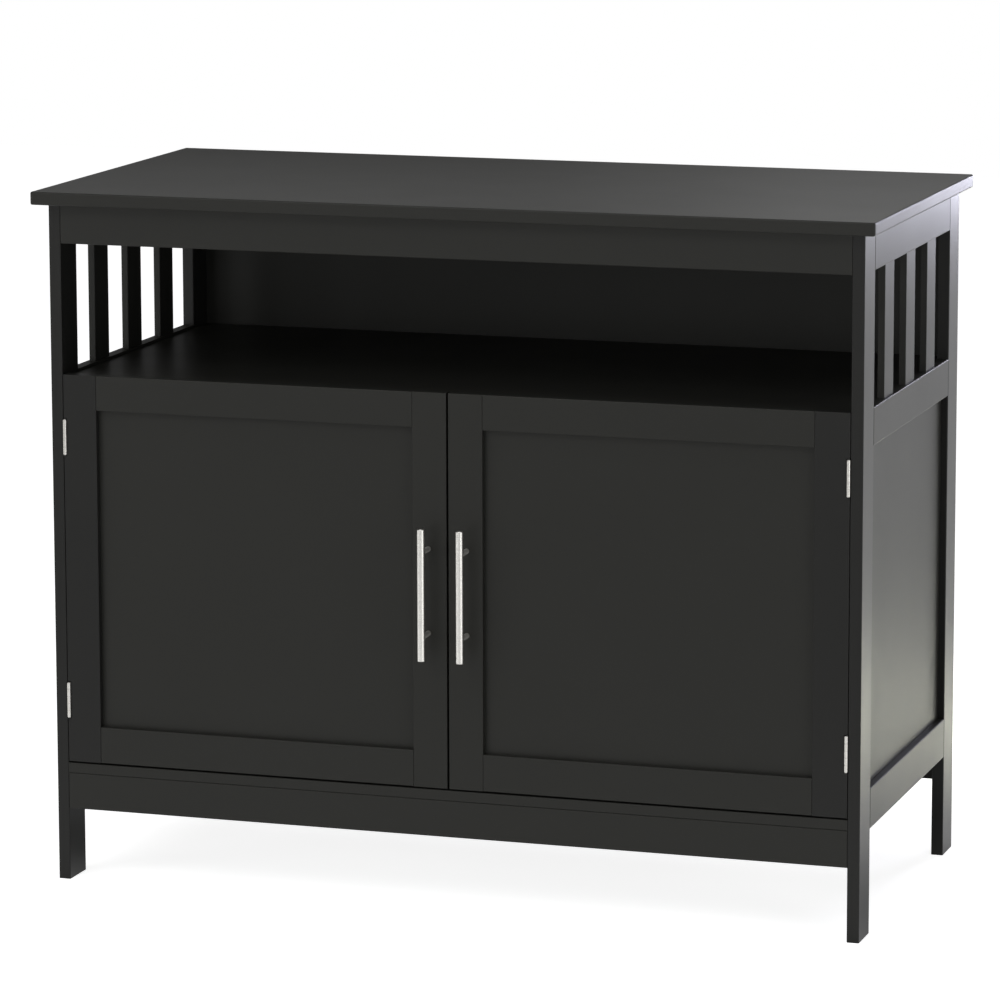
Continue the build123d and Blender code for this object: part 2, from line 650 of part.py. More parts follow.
def magnet_box(x, front_y, room):
    """Opposite corners of a magnet, or of its pocket with room round it."""
    half_length = MAGNET_LENGTH / 2 + room
    half_height = MAGNET_HEIGHT / 2 + room
    low = (x - half_length, front_y, STRIKE_Z - half_height)
    high = (x + half_length, CATCH_FRONT_Y + CATCH_DEPTH - CATCH_WALL, STRIKE_Z + half_height)
    return low, high


# Magnetic catch under the front edge of the fixed shelf
with BuildPart() as catch_housing:
    board(
        (-CATCH_LENGTH / 2, CATCH_FRONT_Y, SHELF_Z - CATCH_HEIGHT),
        (CATCH_LENGTH / 2, CATCH_FRONT_Y + CATCH_DEPTH, SHELF_Z),
    )
    fillet(catch_housing.edges().filter_by(Axis.X).group_by(Axis.Z)[0], CATCH_WALL)
    board(
        (-CATCH_LENGTH / 2 - CATCH_EAR, CATCH_MIDDLE_Y - CATCH_DEPTH / 4, CATCH_EAR_Z),
        (CATCH_LENGTH / 2 + CATCH_EAR, CATCH_MIDDLE_Y + CATCH_DEPTH / 4, SHELF_Z),
    )
    for x in (-STRIKE_X, STRIKE_X):
        board(*magnet_box(x, CATCH_FRONT_Y, PANEL_FIT), mode=Mode.SUBTRACT)
    sink_screws(CATCH_SCREWS)
save(catch_housing, "catch_housing")

with BuildPart() as catch_magnets:
    for x in (-STRIKE_X, STRIKE_X):
        board(*magnet_box(x, CATCH_FRONT_Y - MAGNET_PROUD, 0))
save(catch_magnets, "catch_magnets")

# Butt hinges. Odd knuckles belong to the frame, even ones to the door.
KNUCKLE_PITCH = HINGE_LENGTH / KNUCKLE_COUNT


def hinge_leaf(z, plate_x, first):
    """One leaf of a hinge: a plate, and every second knuckle from the given one."""
    board((plate_x, LEAF_FRONT_Y, z), (plate_x + LEAF_THICKNESS, LEAF_BACK_Y, z + HINGE_LENGTH))
    for knuckle in range(first, KNUCKLE_COUNT, 2):
        with BuildSketch(Plane.XY.offset(z + knuckle * KNUCKLE_PITCH + KNUCKLE_GAP / 2)) as section:
            with Locations((HINGE_X, HINGE_Y)):
                Circle(KNUCKLE_R)
            with Locations((plate_x + LEAF_THICKNESS / 2, HINGE_Y)):
                Rectangle(
                    LEAF_THICKNESS,
                    LEAF_FRONT_Y - HINGE_Y + LEAF_THICKNESS,
                    align=(Align.CENTER, Align.MIN),
                )
            with Locations((HINGE_X, HINGE_Y)):
                Circle(PIN_R + PIN_FIT, mode=Mode.SUBTRACT)
        extrude(section.sketch, amount=KNUCKLE_PITCH - KNUCKLE_GAP)


with BuildPart() as frame_leaves:
    for z in HINGE_BOTTOMS:
        hinge_leaf(z, FRAME_LEAF_X, 0)
    sink_screws(FRAME_SCREWS)
save_pair(frame_leaves, "frame_hinge_leaves")

with BuildPart() as door_leaves:
    for z in HINGE_BOTTOMS:
        hinge_leaf(z, DOOR_SEAT_X, 1)
    sink_screws(DOOR_SCREWS)
save_pair(door_leaves, "door_hinge_leaves")

with BuildPart() as hinge_pins:
    for z in HINGE_BOTTOMS:
        with Locations((HINGE_X, HINGE_Y, z)):
            Cylinder(PIN_R, HINGE_LENGTH, align=(Align.CENTER, Align.CENTER, Align.MIN))
            Cylinder(PIN_HEAD_R, PIN_HEAD, align=(Align.CENTER, Align.CENTER, Align.MAX))
        with Locations((HINGE_X, HINGE_Y, z + HINGE_LENGTH)):
            Cylinder(PIN_HEAD_R, PIN_HEAD, align=(Align.CENTER, Align.CENTER, Align.MIN))
    mirror(about=Plane.YZ)
save(hinge_pins, "hinge_pins")

with BuildPart() as carcass_screws:
    with Locations(*FRAME_SCREWS):
        add(small_screw.part)
    mirror(about=Plane.YZ)
    with Locations(*PANEL_SCREWS, *CATCH_SCREWS):
        add(small_screw.part)
save(carcass_screws, "carcass_screws")

# Doors: two stiles, two rails with stub tenons, and a thin panel in a groove of all four
STILE_INNER_NEAR = DOOR_NEAR_X + DOOR_STILE
STILE_INNER_FAR = DOOR_FAR_X - DOOR_STILE
OPEN_LOW_Z = DOOR_Z + DOOR_BOTTOM_RAIL
OPEN_HIGH_Z = DOOR_TOP_Z - DOOR_TOP_RAIL
DOOR_PANEL_Y = FRONT_Y + DOOR_PANEL_RECESS
TENON_Y = FRONT_Y + (DOOR_THICKNESS - DOOR_TENON_THICKNESS) / 2
STRIKE_SCREW = Plane((STRIKE_X, DOOR_BACK_Y + STRIKE_THICKNESS, STRIKE_Z), z_dir=(0, 1, 0))
DOOR_RAILS = {
    "door_bottom_rail": (DOOR_Z, OPEN_LOW_Z),
    "door_top_rail": (OPEN_HIGH_Z, DOOR_TOP_Z),
}


def door_groove(room):
    """Opposite corners of the groove for the door panel, or of the panel with room at its edges."""
    bite = DOOR_GROOVE_DEPTH - room
    low = (STILE_INNER_NEAR - bite, DOOR_PANEL_Y, OPEN_LOW_Z - bite)
    high = (STILE_INNER_FAR + bite, DOOR_PANEL_Y + DOOR_PANEL_THICKNESS, OPEN_HIGH_Z + bite)
    return low, high


def door_tenon(z_low, z_high, reach, room):
    """Opposite corners of a door rail's tenons, run through from stile to stile."""
    low = (STILE_INNER_NEAR - reach, TENON_Y - room, z_low + DOOR_TENON_SHOULDER - room)
    high = (
        STILE_INNER_FAR + reach,
        TENON_Y + DOOR_TENON_THICKNESS + room,
        z_high - DOOR_TENON_SHOULDER + room,
    )
    return low, high


for stem, low_x, high_x in (
    ("door_meeting_stile", DOOR_NEAR_X, STILE_INNER_NEAR),
    ("door_hinge_stile", STILE_INNER_FAR, DOOR_FAR_X),
):
    with BuildPart() as stile:
        board((low_x, FRONT_Y, DOOR_Z), (high_x, DOOR_BACK_Y, DOOR_TOP_Z))
        fillet(stile.edges().filter_by(Axis.Z), DOOR_EASE_R)
        board(*door_groove(0), mode=Mode.SUBTRACT)
        for z_low, z_high in DOOR_RAILS.values():
            board(
                *door_tenon(z_low, z_high, DOOR_TENON_LENGTH + TENON_END_ROOM, GLUE_FIT),
                mode=Mode.SUBTRACT,
            )
        if stem == "door_meeting_stile":
            for z in POST_ZS:
                with Locations(Plane((HANDLE_X, FRONT_Y, z), z_dir=(0, -1, 0))):
                    Hole(HANDLE_SCREW_R + HOLE_FIT, DOOR_THICKNESS)
            drill_screws([STRIKE_SCREW], STRIKE_THICKNESS)
        else:
            for z in HINGE_BOTTOMS:
                low_z = z - MORTISE_END_ROOM
                high_z = z + HINGE_LENGTH + MORTISE_END_ROOM
                for near_x, back_y in (
                    (DOOR_SEAT_X, DOOR_BACK_Y),
                    (DOOR_SEAT_X - BARREL_ROOM, LEAF_FRONT_Y),
                ):
                    board(
                        (near_x, FRONT_Y, low_z),
                        (DOOR_FAR_X, back_y, high_z),
                        mode=Mode.SUBTRACT,
                    )
            drill_screws(DOOR_SCREWS, LEAF_THICKNESS)
    save_pair(stile, stem)

for stem, (z_low, z_high) in DOOR_RAILS.items():
    with BuildPart() as door_rail:
        board((STILE_INNER_NEAR, FRONT_Y, z_low), (STILE_INNER_FAR, DOOR_BACK_Y, z_high))
        ease(door_rail, Axis.Y, 0, DOOR_EASE_R)
        board(*door_tenon(z_low, z_high, DOOR_TENON_LENGTH, 0))
        board(*door_groove(0), mode=Mode.SUBTRACT)
    save_pair(door_rail, stem)

with BuildPart() as door_panel:
    board(*door_groove(PANEL_FIT))
save_pair(door_panel, "door_panel")

# Strike plate on the back of the door
with BuildPart() as strike_plate:
    board(
        (STRIKE_X - STRIKE_LENGTH / 2, DOOR_BACK_Y, STRIKE_Z - STRIKE_HEIGHT / 2),
        (STRIKE_X + STRIKE_LENGTH / 2, DOOR_BACK_Y + STRIKE_THICKNESS, STRIKE_Z + STRIKE_HEIGHT / 2),
    )
    fillet(strike_plate.edges().filter_by(Axis.Y), STRIKE_THICKNESS)
    sink_screws([STRIKE_SCREW])
save_pair(strike_plate, "door_strike_plate")

with BuildPart() as door_screws:
    with Locations(*DOOR_SCREWS, STRIKE_SCREW):
        add(small_screw.part)
save_pair(door_screws, "door_screws")

# Bar handle: a round bar on two posts that enter it, held by screws from inside the door
with BuildPart() as handle_bar:
    with Locations((HANDLE_X, HANDLE_Y, HANDLE_Z)):
        Cylinder(HANDLE_R, HANDLE_LENGTH)
    chamfer(handle_bar.edges().filter_by(GeomType.CIRCLE), HANDLE_END_CHAMFER)
    for z in POST_ZS:
        with Locations(Plane((HANDLE_X, HANDLE_Y + HANDLE_R - POST_HOUSING, z), z_dir=(0, 1, 0))):
            Cylinder(
                POST_R + HOLE_FIT,
                HANDLE_R,
                align=(Align.CENTER, Align.CENTER, Align.MIN),
                mode=Mode.SUBTRACT,
            )
save_pair(handle_bar, "handle_bar")

POST_LENGTH = HANDLE_REACH - HANDLE_R + POST_HOUSING
with BuildPart() as handle_posts:
    for z in POST_ZS:
        with Locations(Plane((HANDLE_X, FRONT_Y, z), z_dir=(0, -1, 0))):
            Cylinder(POST_R, POST_LENGTH, align=(Align.CENTER, Align.CENTER, Align.MIN))
        with Locations(Plane((HANDLE_X, FRONT_Y, z), z_dir=(0, 1, 0))):
            Hole(HANDLE_SCREW_R + HOLE_FIT, HANDLE_SCREW_GRIP + HOLE_FIT)
save_pair(handle_posts, "handle_posts")

with BuildPart() as handle_screws:
    for z in POST_ZS:
        with Locations(Plane((HANDLE_X, FRONT_Y - HANDLE_SCREW_GRIP, z), z_dir=(0, 1, 0))):
            Cylinder(
                HANDLE_SCREW_R,
                HANDLE_SCREW_GRIP + DOOR_THICKNESS,
                align=(Align.CENTER, Align.CENTER, Align.MIN),
            )
        with Locations(Plane((HANDLE_X, DOOR_BACK_Y, z), z_dir=(0, 1, 0))):
            Cylinder(
                HANDLE_SCREW_HEAD_R,
                HANDLE_SCREW_HEAD,
                align=(Align.CENTER, Align.CENTER, Align.MIN),
            )
save_pair(handle_screws, "handle_screws")
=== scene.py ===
# %% [markdown]
# # A black lacquered sideboard
#
# This lesson dresses a finished model of a small kitchen sideboard: it gives every board, hinge and handle
# the surface of the real thing, and sets up the studio that it is photographed in. The shapes are made
# already, in metres, with the origin on the floor in the middle of the object. Here we work on what the
# eye reads as material: lacquer, plated steel, brushed nickel, beech.

# %% Load the model
import json
import math

import bpy
from mathutils import Matrix, Vector

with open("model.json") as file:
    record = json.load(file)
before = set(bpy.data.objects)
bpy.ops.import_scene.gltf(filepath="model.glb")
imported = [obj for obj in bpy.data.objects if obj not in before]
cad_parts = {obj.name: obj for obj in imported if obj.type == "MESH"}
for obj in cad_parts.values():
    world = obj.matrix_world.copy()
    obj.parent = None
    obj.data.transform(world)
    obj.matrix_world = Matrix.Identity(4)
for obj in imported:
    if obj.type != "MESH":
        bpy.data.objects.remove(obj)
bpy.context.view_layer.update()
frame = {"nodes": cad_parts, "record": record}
nodes = frame["nodes"]
slot_of = {part["node"]: part["material_slot"] for part in frame["record"]["subparts"]}

# %% [markdown]
# ## Colours
#
# Paint charts and colour pickers give sRGB values, as hex. A shader works with linear light, so one
# function turns a hex value into the four linear numbers that a colour socket takes. Its numbers are
# those of the sRGB standard: a straight line near black, and a power curve above it.

# %% Colour helper


def linear(hex_colour):
    """The linear RGBA of an sRGB hex value such as "292926"."""
    channels = [int(hex_colour[i : i + 2], 16) / 255 for i in (0, 2, 4)]
    return [c / 12.92 if c <= 0.04045 else ((c + 0.055) / 1.055) ** 2.4 for c in channels] + [1.0]


print("sRGB 292926 in linear light:", [round(c, 4) for c in linear("292926")])

# %% [markdown]
# ## Building node trees
#
# A material is a small graph. Written out with the plain API, each node takes four or five lines, and the
# graph is lost among them. One helper adds any node with its settings and its links: a setting that is
# another node's output socket becomes a link, anything else becomes the socket's value.
#
# A second helper starts a material with nothing in it but its output. Two more give what every finish
# here is made of. One is a cloudy pattern of a real size: it reads the object's own coordinates, in
# metres, and divides them by that size. The other lets the colour and the roughness wander between two
# values each, because no real surface is the same all over.

# %% Node helpers
MILLIMETRE = 0.001
CLOUD_DETAIL = 2.0
FINE_DETAIL = 3.0
# Most of a cloudy pattern lies between these two values.
WANDER_FROM = 0.3
WANDER_TO = 0.7
# A Mix node has sockets for every type of data. These are the places of its colour ones.
MIX_DARK = 6
MIX_LIGHT = 7
MIX_RESULT = 2


def add_node(tree, kind, sockets=None, **settings):
    """Adds a node. 'settings' are its properties; 'sockets' maps input names to values or outputs."""
    node = tree.nodes.new(kind)
    for name, value in settings.items():
        setattr(node, name, value)
    for name, value in (sockets or {}).items():
        if isinstance(value, bpy.types.NodeSocket):
            tree.links.new(value, node.inputs[name])
        else:
            node.inputs[name].default_value = value
    return node


def new_material(name):
    """A material with an empty tree, and its output node."""
    material = bpy.data.materials.new(name)
    material.use_nodes = True
    material.node_tree.nodes.clear()
    return material, material.node_tree, add_node(material.node_tree, "ShaderNodeOutputMaterial")


def cloudy_pattern(tree, size_mm, detail=CLOUD_DETAIL, stretch=(1, 1, 1)):
    """A 0 to 1 pattern whose blobs are about 'size_mm' across, drawn out 'stretch' times along X, Y, Z."""
    place = add_node(tree, "ShaderNodeTexCoord").outputs["Object"]
    scale = [1 / (size_mm * MILLIMETRE * s) for s in stretch]
    mapping = add_node(tree, "ShaderNodeMapping", {"Vector": place, "Scale": scale})
    sockets = {"Vector": mapping.outputs["Vector"], "Scale": 1.0, "Detail": detail}
    return add_node(tree, "ShaderNodeTexNoise", sockets).outputs["Fac"]


def wandering_finish(tree, colour_pattern, shades, sheen_pattern, roughness):
    """The sockets of a colour between two hex values and a roughness between two numbers."""
    dark, light = (linear(shade) for shade in shades)
    blend = {"Factor": colour_pattern, MIX_DARK: dark, MIX_LIGHT: light}
    colour = add_node(tree, "ShaderNodeMix", blend, data_type="RGBA")
    wander = {"Value": sheen_pattern, "From Min": WANDER_FROM, "From Max": WANDER_TO}
    wander["To Min"], wander["To Max"] = roughness
    sheen = add_node(tree, "ShaderNodeMapRange", wander)
    return {"Base Color": colour.outputs[MIX_RESULT], "Roughness": sheen.outputs["Result"]}


# %% [markdown]
# ## Satin black lacquer
#
# The boards are sprayed with a black lacquer that dries to a satin film. Three things tell the eye that
# it is sprayed paint and not plastic. The droplets level out but not quite, which leaves a faint orange
# peel about two millimetres across. The film is a trace rougher in some places than in others, over a
# hand's width. And on the legs and hinge stiles, which are solid wood, the grain telegraphs through the
# film as long shallow streaks, while the wide boards are pressed fibre and show none. Each is one noise
# pattern at its real size, and the strengths are small: overdone orange peel looks like leather.
#
# A lacquer film has an index near 1.5. This one is matted, and mirrors less than that at a steep angle,
# so its index is matched to the object and comes out lower.

# %% Lacquer
LACQUER_IOR = 1.3
ORANGE_PEEL_MM = 2.2
ORANGE_PEEL_STRENGTH = 0.04
SHEEN_PATCH_MM = 120.0
GRAIN_MM = 1.8
GRAIN_STRENGTH = 0.06
FILM_RELIEF_MM = 0.2


def satin_black_lacquer(name, shades, roughness, ior=LACQUER_IOR, grain=None):
    """Sprayed satin lacquer. 'grain' is how the wood below stretches its streaks along X, Y and Z."""
    material, tree, output = new_material(name)
    patches = cloudy_pattern(tree, SHEEN_PATCH_MM)
    relief = {"Strength": ORANGE_PEEL_STRENGTH, "Distance": FILM_RELIEF_MM * MILLIMETRE}
    relief["Height"] = cloudy_pattern(tree, ORANGE_PEEL_MM)
    skin = add_node(tree, "ShaderNodeBump", relief)
    if grain:
        relief["Strength"] = GRAIN_STRENGTH
        relief["Height"] = cloudy_pattern(tree, GRAIN_MM, FINE_DETAIL, grain)
        relief["Normal"] = skin.outputs["Normal"]
        skin = add_node(tree, "ShaderNodeBump", relief)
    sockets = wandering_finish(tree, patches, shades, patches, roughness)
    sockets["IOR"] = ior
    sockets["Normal"] = skin.outputs["Normal"]
    shader = add_node(tree, "ShaderNodeBsdfPrincipled", sockets)
    tree.links.new(shader.outputs["BSDF"], output.inputs["Surface"])
    return material


# %% [markdown]
# ## Metals
#
# A metal has no colour of its own apart from its reflection, so what sets one metal finish apart from
# another is how it was worked. The handle bars are turned and brushed, with fine scratches round the
# bar, and their posts are left as they came off the lathe, rougher, so that they catch light from the
# side. The hinges are stamped and plated, smoother, with soft blotches. Screws and cam bolts are barrel
# plated, duller and more uneven, and the cam locks are bare castings. One function covers them all: it
# takes the tint, the roughness and the direction in which the scratches are drawn out. The real
# scratches are finer than a pixel, and are drawn at half a millimetre so that they show.

# %% Metal finishes
BLOTCH_MM = 6.0
SCRATCH_MM = 0.5
SCRATCH_STRENGTH = 0.1
SCRATCH_RELIEF_MM = 0.02


def worked_metal(name, shades, roughness, drawn_out=(1, 1, 1)):
    """Bare or plated metal. 'drawn_out' is how much longer the scratches are along X, Y and Z."""
    material, tree, output = new_material(name)
    blotches = cloudy_pattern(tree, BLOTCH_MM, FINE_DETAIL)
    scratches = cloudy_pattern(tree, SCRATCH_MM, FINE_DETAIL, drawn_out)
    relief = {"Height": scratches, "Strength": SCRATCH_STRENGTH, "Distance": SCRATCH_RELIEF_MM * MILLIMETRE}
    skin = add_node(tree, "ShaderNodeBump", relief)
    sockets = wandering_finish(tree, blotches, shades, scratches, roughness)
    sockets["Metallic"] = 1.0
    sockets["Normal"] = skin.outputs["Normal"]
    shader = add_node(tree, "ShaderNodeBsdfPrincipled", sockets)
    tree.links.new(shader.outputs["BSDF"], output.inputs["Surface"])
    return material


# %% [markdown]
# ## Beech dowels and the plastic catch
#
# The dowels are rolled from beech, with short dark flecks along the grain. They sit inside the joints, and
# show only if the sideboard is taken apart. The catch is a moulded plastic case with a fine spark texture.

# %% Beech and moulded plastic
BEECH = ("a97f55", "cfa878")
BEECH_ROUGHNESS = (0.58, 0.66)
FLECK_MM = 1.2
FLECK_DETAIL = 5.0
FLECK_RUN = (12, 1, 1)
CASE_BLACK = ("151515", "1b1b1b")
CASE_ROUGHNESS = (0.5, 0.6)
SPARK_MM = 0.6
SPARK_STRENGTH = 0.25
SPARK_RELIEF_MM = 0.05
MOULD_PATCH_MM = 8.0


def rolled_beech(name):
    """Bare beech, a trace rougher in its pale bands than in its dark flecks."""
    material, tree, output = new_material(name)
    flecks = cloudy_pattern(tree, FLECK_MM, FLECK_DETAIL, FLECK_RUN)
    sockets = wandering_finish(tree, flecks, BEECH, flecks, BEECH_ROUGHNESS)
    shader = add_node(tree, "ShaderNodeBsdfPrincipled", sockets)
    tree.links.new(shader.outputs["BSDF"], output.inputs["Surface"])
    return material


def moulded_plastic(name):
    """Black plastic from a spark-eroded mould."""
    material, tree, output = new_material(name)
    relief = {"Strength": SPARK_STRENGTH, "Distance": SPARK_RELIEF_MM * MILLIMETRE}
    relief["Height"] = cloudy_pattern(tree, SPARK_MM)
    skin = add_node(tree, "ShaderNodeBump", relief)
    patches = cloudy_pattern(tree, MOULD_PATCH_MM)
    sockets = wandering_finish(tree, patches, CASE_BLACK, patches, CASE_ROUGHNESS)
    sockets["Normal"] = skin.outputs["Normal"]
    shader = add_node(tree, "ShaderNodeBsdfPrincipled", sockets)
    tree.links.new(shader.outputs["BSDF"], output.inputs["Surface"])
    return material


# %% [markdown]
# ## Giving every piece its finish
#
# The record names a material slot for each piece, and one finish stands for each slot. Five kinds of
# piece differ from the rest of their slot. The legs and hinge stiles are solid wood, and their black is a
# shade darker than the boards': painted shade, for the dimmer light on their fronts. The side panels and
# the shelf of the bay took the spray a little differently, and the handle posts aren't brushed.

# %% Finishes
BOARD_BLACK = ("292926", "2c2c29")
# The uprights' black is darker than the boards' as painted shade, for the dimmer light on their fronts.
SHADED_UPRIGHT_BLACK = ("212120", "242422")
NICKEL = ("d9d7d2", "e8e6e1")
NICKEL_PLATE = ("c8c6c0", "dad8d3")
ZINC_PLATE = ("a9abae", "c4c5c7")
CAST_ZINC = ("8f9194", "a8aaac")
MAGNET_GREY = ("3d3e42", "4d4e52")
SHELF_IOR = 1.2
# How far a pattern is drawn out along X, Y and Z.
UP_THE_GRAIN = (1, 1, 30)
ROUND_THE_BAR = (8, 8, 0.6)

upright = satin_black_lacquer(
    "satin_lacquer_on_upright", SHADED_UPRIGHT_BLACK, roughness=(0.36, 0.38), grain=UP_THE_GRAIN
)
by_ending = {
    "leg": upright,
    "hinge_stile": upright,
    "side_panel": satin_black_lacquer("satin_lacquer_on_thin_panel", BOARD_BLACK, roughness=(0.43, 0.45)),
    "bay_shelf": satin_black_lacquer(
        "satin_lacquer_on_shelf", BOARD_BLACK, roughness=(0.33, 0.36), ior=SHELF_IOR
    ),
    "handle_posts": worked_metal("turned_satin_nickel", NICKEL, roughness=(0.5, 0.6)),
}
board_lacquer = satin_black_lacquer("satin_lacquer_on_board", BOARD_BLACK, roughness=(0.41, 0.43))
by_slot = {
    "black_lacquered_board": board_lacquer,
    "black_hardboard": board_lacquer,
    "satin_nickel": worked_metal(
        "brushed_satin_nickel", NICKEL, roughness=(0.24, 0.34), drawn_out=ROUND_THE_BAR
    ),
    "nickel_plated_steel": worked_metal("nickel_plated_steel", NICKEL_PLATE, roughness=(0.22, 0.34)),
    "plated_steel": worked_metal("zinc_plated_steel", ZINC_PLATE, roughness=(0.3, 0.45)),
    "zinc_alloy": worked_metal("die_cast_zinc", CAST_ZINC, roughness=(0.42, 0.58)),
    "beech": rolled_beech("rolled_beech"),
    "black_plastic": moulded_plastic("moulded_black_plastic"),
    "magnet": worked_metal("magnet_face", MAGNET_GREY, roughness=(0.4, 0.5)),
}
for name, piece in nodes.items():
    own = [finish for ending, finish in by_ending.items() if name.endswith(ending)]
    piece.data.materials.clear()
    piece.data.materials.append(own[0] if own else by_slot[slot_of[name]])
used = {piece.data.materials[0].name for piece in nodes.values()}
print(len(used), "finishes on", len(nodes), "pieces")

# %% [markdown]
# ## The floor
#
# Black furniture is lit by what it reflects, so most of this studio is made of things to reflect. The
# floor is white paper. Lamps bright enough to show paper as white would wash out the lacquer, so the
# floor has some light of its own, which only the camera and reflections see. That light is a little
# weaker around the sideboard, and there the real shadow stays as a faint one.
#
# In the lacquer the same floor shows two dark places, where reflections see less of the floor's own
# light. One is under the body: a painted shadow, for the shade that the body casts there. The other is in
# front of the sideboard. They give the doors and the feet their depth, and the camera never sees them
# directly.

# %% Floor
WHITE = linear("ffffff")
FLOOR_SIZE = 14.0
FLOOR_COLOUR = "e6e6e6"
# The paper's own light rises from FILL_UNDER to FILL_FAR over these distances from the middle, in metres.
FILL_UNDER = 0.86
FILL_FAR = 1.0
FILL_FROM = 0.8
FILL_TO = 2.2
# Reflections see this share of it in front of the line FRONT_DARK, and all of it behind FRONT_LIT.
FRONT_REFLECTED = 0.3
FRONT_DARK = -1.6
FRONT_LIT = -0.5
# They see this share of it inside the oval UNDER_DARK, and all of it outside the oval UNDER_LIT: a
# painted shadow under the body. Both ovals are multiples of BODY_REACH, half the body's length and depth.
# On a flat floor its third number has nothing to divide.
UNDER_REFLECTED = 0.1
UNDER_DARK = 0.9
UNDER_LIT = 1.6
BODY_REACH = (0.475, 0.23, 1.0)


def seen_directly(tree):
    """1 for what the camera sees itself, in a mirror or through glass, and 0 for light on its way."""
    ray = add_node(tree, "ShaderNodeLightPath")
    mirrored = {0: ray.outputs["Is Glossy Ray"], 1: ray.outputs["Is Transmission Ray"]}
    mirrored = add_node(tree, "ShaderNodeMath", mirrored, operation="MAXIMUM")
    both = {0: ray.outputs["Is Camera Ray"], 1: mirrored.outputs[0]}
    return add_node(tree, "ShaderNodeMath", both, operation="MAXIMUM").outputs[0]


bpy.ops.mesh.primitive_plane_add(size=FLOOR_SIZE)
floor = bpy.context.object
floor.name = "floor"
material, tree, output = new_material("white_paper_floor")
paper = add_node(tree, "ShaderNodeBsdfDiffuse", {"Color": linear(FLOOR_COLOUR)})

# The light that the paper adds, weaker near the sideboard.
on_floor = add_node(tree, "ShaderNodeTexCoord").outputs["Object"]
from_middle = add_node(tree, "ShaderNodeVectorMath", {0: on_floor}, operation="LENGTH").outputs["Value"]
limits = {"From Min": FILL_FROM, "From Max": FILL_TO, "To Min": FILL_UNDER, "To Max": FILL_FAR}
fill = add_node(tree, "ShaderNodeMapRange", {"Value": from_middle, **limits}).outputs["Result"]

# The share of it that reflections see: less in front of the sideboard, and under the body, where it is a
# painted shadow.
depth = add_node(tree, "ShaderNodeSeparateXYZ", {"Vector": on_floor}).outputs["Y"]
limits = {"From Min": FRONT_DARK, "From Max": FRONT_LIT, "To Min": FRONT_REFLECTED, "To Max": 1.0}
front = add_node(tree, "ShaderNodeMapRange", {"Value": depth, **limits}).outputs["Result"]
reach = add_node(tree, "ShaderNodeVectorMath", {0: on_floor, 1: BODY_REACH}, operation="DIVIDE").outputs[0]
reach = add_node(tree, "ShaderNodeVectorMath", {0: reach}, operation="LENGTH").outputs["Value"]
limits = {"From Min": UNDER_DARK, "From Max": UNDER_LIT, "To Min": UNDER_REFLECTED, "To Max": 1.0}
under = add_node(tree, "ShaderNodeMapRange", {"Value": reach, **limits}).outputs["Result"]
reflected = add_node(tree, "ShaderNodeMath", {0: front, 1: under}, operation="MINIMUM").outputs[0]
in_camera = add_node(tree, "ShaderNodeLightPath").outputs["Is Camera Ray"]
share = add_node(tree, "ShaderNodeMath", {0: reflected, 1: in_camera}, operation="MAXIMUM").outputs[0]
fill = add_node(tree, "ShaderNodeMath", {0: fill, 1: share}, operation="MULTIPLY").outputs[0]
fill = add_node(tree, "ShaderNodeEmission", {"Color": WHITE, "Strength": fill})

lifted = add_node(tree, "ShaderNodeAddShader", {0: paper.outputs[0], 1: fill.outputs[0]})
sockets = {0: seen_directly(tree), 1: paper.outputs[0], 2: lifted.outputs[0]}
seen = add_node(tree, "ShaderNodeMixShader", sockets)
tree.links.new(seen.outputs[0], output.inputs["Surface"])
floor.data.materials.append(material)
print("paper floor,", FLOOR_SIZE, "m square")

# %% [markdown]
# ## Room light and backdrop
#
# The backdrop is white to the camera at every height. Reflections see it white only near the floor, as a
# sweep of paper that curves up and ends, with a dark ceiling over it. That keeps the top board near
# its own black. The light that the room itself gives the object is very weak.

# %% Room light and white backdrop
ROOM_LIGHT = 0.04
# The sweep fades into the ceiling between these heights, which are the Z of a direction: 0 is level.
SWEEP_TOP = 0.0
SWEEP_END = 0.06
CEILING = 0.1

world = bpy.data.worlds.new("studio")
bpy.context.scene.world = world
world.use_nodes = True
tree = world.node_tree
tree.nodes.clear()
direction = add_node(tree, "ShaderNodeTexCoord").outputs["Generated"]
height = add_node(tree, "ShaderNodeSeparateXYZ", {"Vector": direction}).outputs["Z"]
limits = {"From Min": SWEEP_TOP, "From Max": SWEEP_END, "To Min": 1.0, "To Max": CEILING}
sweep = add_node(tree, "ShaderNodeMapRange", {"Value": height, **limits}).outputs["Result"]
in_camera = add_node(tree, "ShaderNodeLightPath").outputs["Is Camera Ray"]
white = add_node(tree, "ShaderNodeMath", {0: sweep, 1: in_camera}, operation="MAXIMUM").outputs[0]
room = add_node(tree, "ShaderNodeBackground", {"Color": WHITE, "Strength": ROOM_LIGHT})
backdrop = add_node(tree, "ShaderNodeBackground", {"Color": WHITE, "Strength": white})
sockets = {0: seen_directly(tree), 1: room.outputs[0], 2: backdrop.outputs[0]}
choice = add_node(tree, "ShaderNodeMixShader", sockets)
add_node(tree, "ShaderNodeOutputWorld", {"Surface": choice.outputs[0]})
print("room light", ROOM_LIGHT, "and ceiling", CEILING)

# %% [markdown]
# ## Softboxes
#
# The overhead box and the high front box leave a shadow under the edge of the top, and the low front box
# evens out the doors. The box at the left lights the back of the bay. The one at the right puts the
# bright lines on edges, handles and hinges.
#
# The other lamps are there to be mirrored. Three weak ones behind the sideboard show in the top, and
# make it lighter towards the front and the right. The right end mirrors a small bluish window in its
# upper half and a warm pool of light on the floor in its lower half.

# %% Softboxes


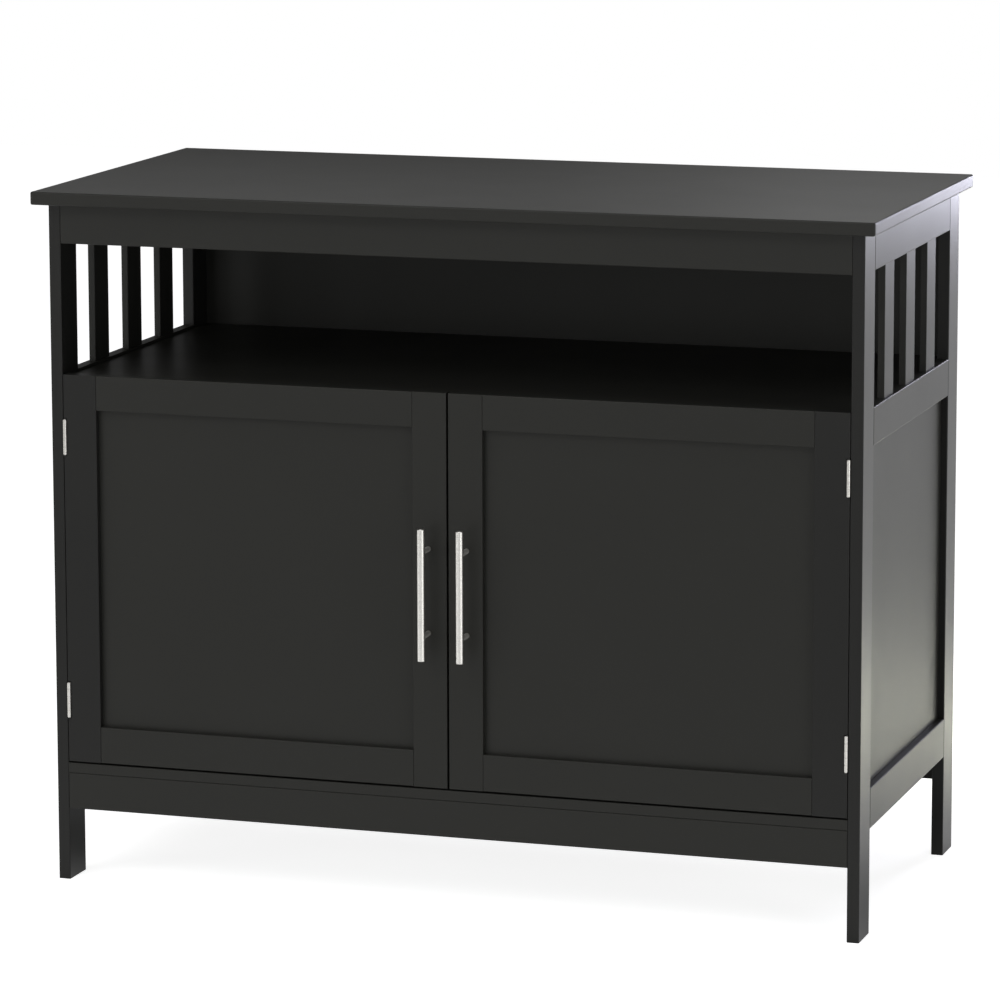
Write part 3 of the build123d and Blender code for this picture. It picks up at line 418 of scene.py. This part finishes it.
def softbox(name, place, target, size, power, colour="ffffff", spread=180):
    """A rectangular area light at 'place', turned towards 'target'."""
    light = bpy.data.lights.new(name, "AREA")
    light.shape = "RECTANGLE"
    light.size, light.size_y = size
    light.energy = power
    light.color = linear(colour)[:3]
    light.spread = math.radians(spread)
    lamp = bpy.data.objects.new(name, light)
    bpy.context.collection.objects.link(lamp)
    lamp.location = place
    lamp.rotation_euler = (Vector(target) - Vector(place)).to_track_quat("-Z", "Y").to_euler()
    lamp.visible_camera = False
    print(name, power, "W")


# Each has its place and target, its width and height in metres, and its power in watts.
softbox("overhead", (0.2, -0.6, 3.4), (0.0, 0.0, 0.4), (3.0, 2.0), 28)
softbox("front_high", (-1.2, -2.9, 2.9), (0.0, 0.0, 0.45), (2.4, 1.6), 36)
softbox("front_low", (-0.3, -3.9, 1.0), (0.0, 0.0, 0.6), (3.5, 1.0), 13.5)
softbox("front_left", (-2.8, -2.6, 0.85), (0.0, 0.2, 0.66), (1.2, 0.8), 12)
softbox("front_right", (2.8, -1.7, 0.6), (0.3, -0.2, 0.5), (1.6, 1.8), 21)
softbox("back_strip", (-0.1, 0.9, 1.28), (0.0, 0.0, 0.8), (2.4, 0.2), 1.63)
softbox("back_middle", (0.0, 2.0, 1.15), (0.3, 0.0, 0.8), (1.0, 0.5), 0.19)
softbox("back_right", (0.35, 1.5, 1.45), (0.3, 0.0, 0.8), (1.0, 0.4), 0.95)
softbox("right_window", (0.8, 1.5, 0.75), (0.49, 0.1, 0.6), (0.35, 0.25), 5.4, "ededff")
softbox("floor_pool", (0.85, 0.9, 0.9), (0.85, 0.9, 0.0), (0.5, 0.5), 4.3, "ffffe1", spread=60)

# %% [markdown]
# ## Camera
#
# A long lens, nearly six metres away, so that the uprights stay nearly parallel. The camera is about two
# thirds of a metre above the top board and looks down by nine degrees. Its lens is shifted down a little
# as well, so it needs less tilt and the uprights lean less.

# %% Camera
# The place is in metres and the angles are in degrees. Azimuth 0 is straight in front.
CAMERA_PLACE = (1.7475, -5.4122, 1.4619)
CAMERA_AZIMUTH = 17.971
CAMERA_ELEVATION = 9.116
CAMERA_ROLL = -0.127
LENS_MM = 180.19
SENSOR_MM = 36.0
LENS_SHIFT = -0.1

data = bpy.data.cameras.new("camera")
data.sensor_width = SENSOR_MM
data.lens = LENS_MM
data.shift_y = LENS_SHIFT
camera = bpy.data.objects.new("camera", data)
bpy.context.collection.objects.link(camera)
azimuth, elevation, roll = (math.radians(a) for a in (CAMERA_AZIMUTH, CAMERA_ELEVATION, CAMERA_ROLL))
level = math.cos(elevation)
back = Vector((math.sin(azimuth) * level, -math.cos(azimuth) * level, math.sin(elevation)))
right = Vector((math.cos(azimuth), math.sin(azimuth), 0))
turn = Matrix((right, back.cross(right), back)).transposed() @ Matrix.Rotation(roll, 3, "Z")
camera.matrix_world = Matrix.Translation(CAMERA_PLACE) @ turn.to_4x4()
bpy.context.scene.camera = camera
print("camera", round(Vector(CAMERA_PLACE).length, 2), "m from the origin, lens", LENS_MM, "mm")

# %% [markdown]
# ## Colour management
#
# The standard view transform shows each colour as it was written.

# %% Colour management
bpy.context.scene.view_settings.view_transform = "Standard"
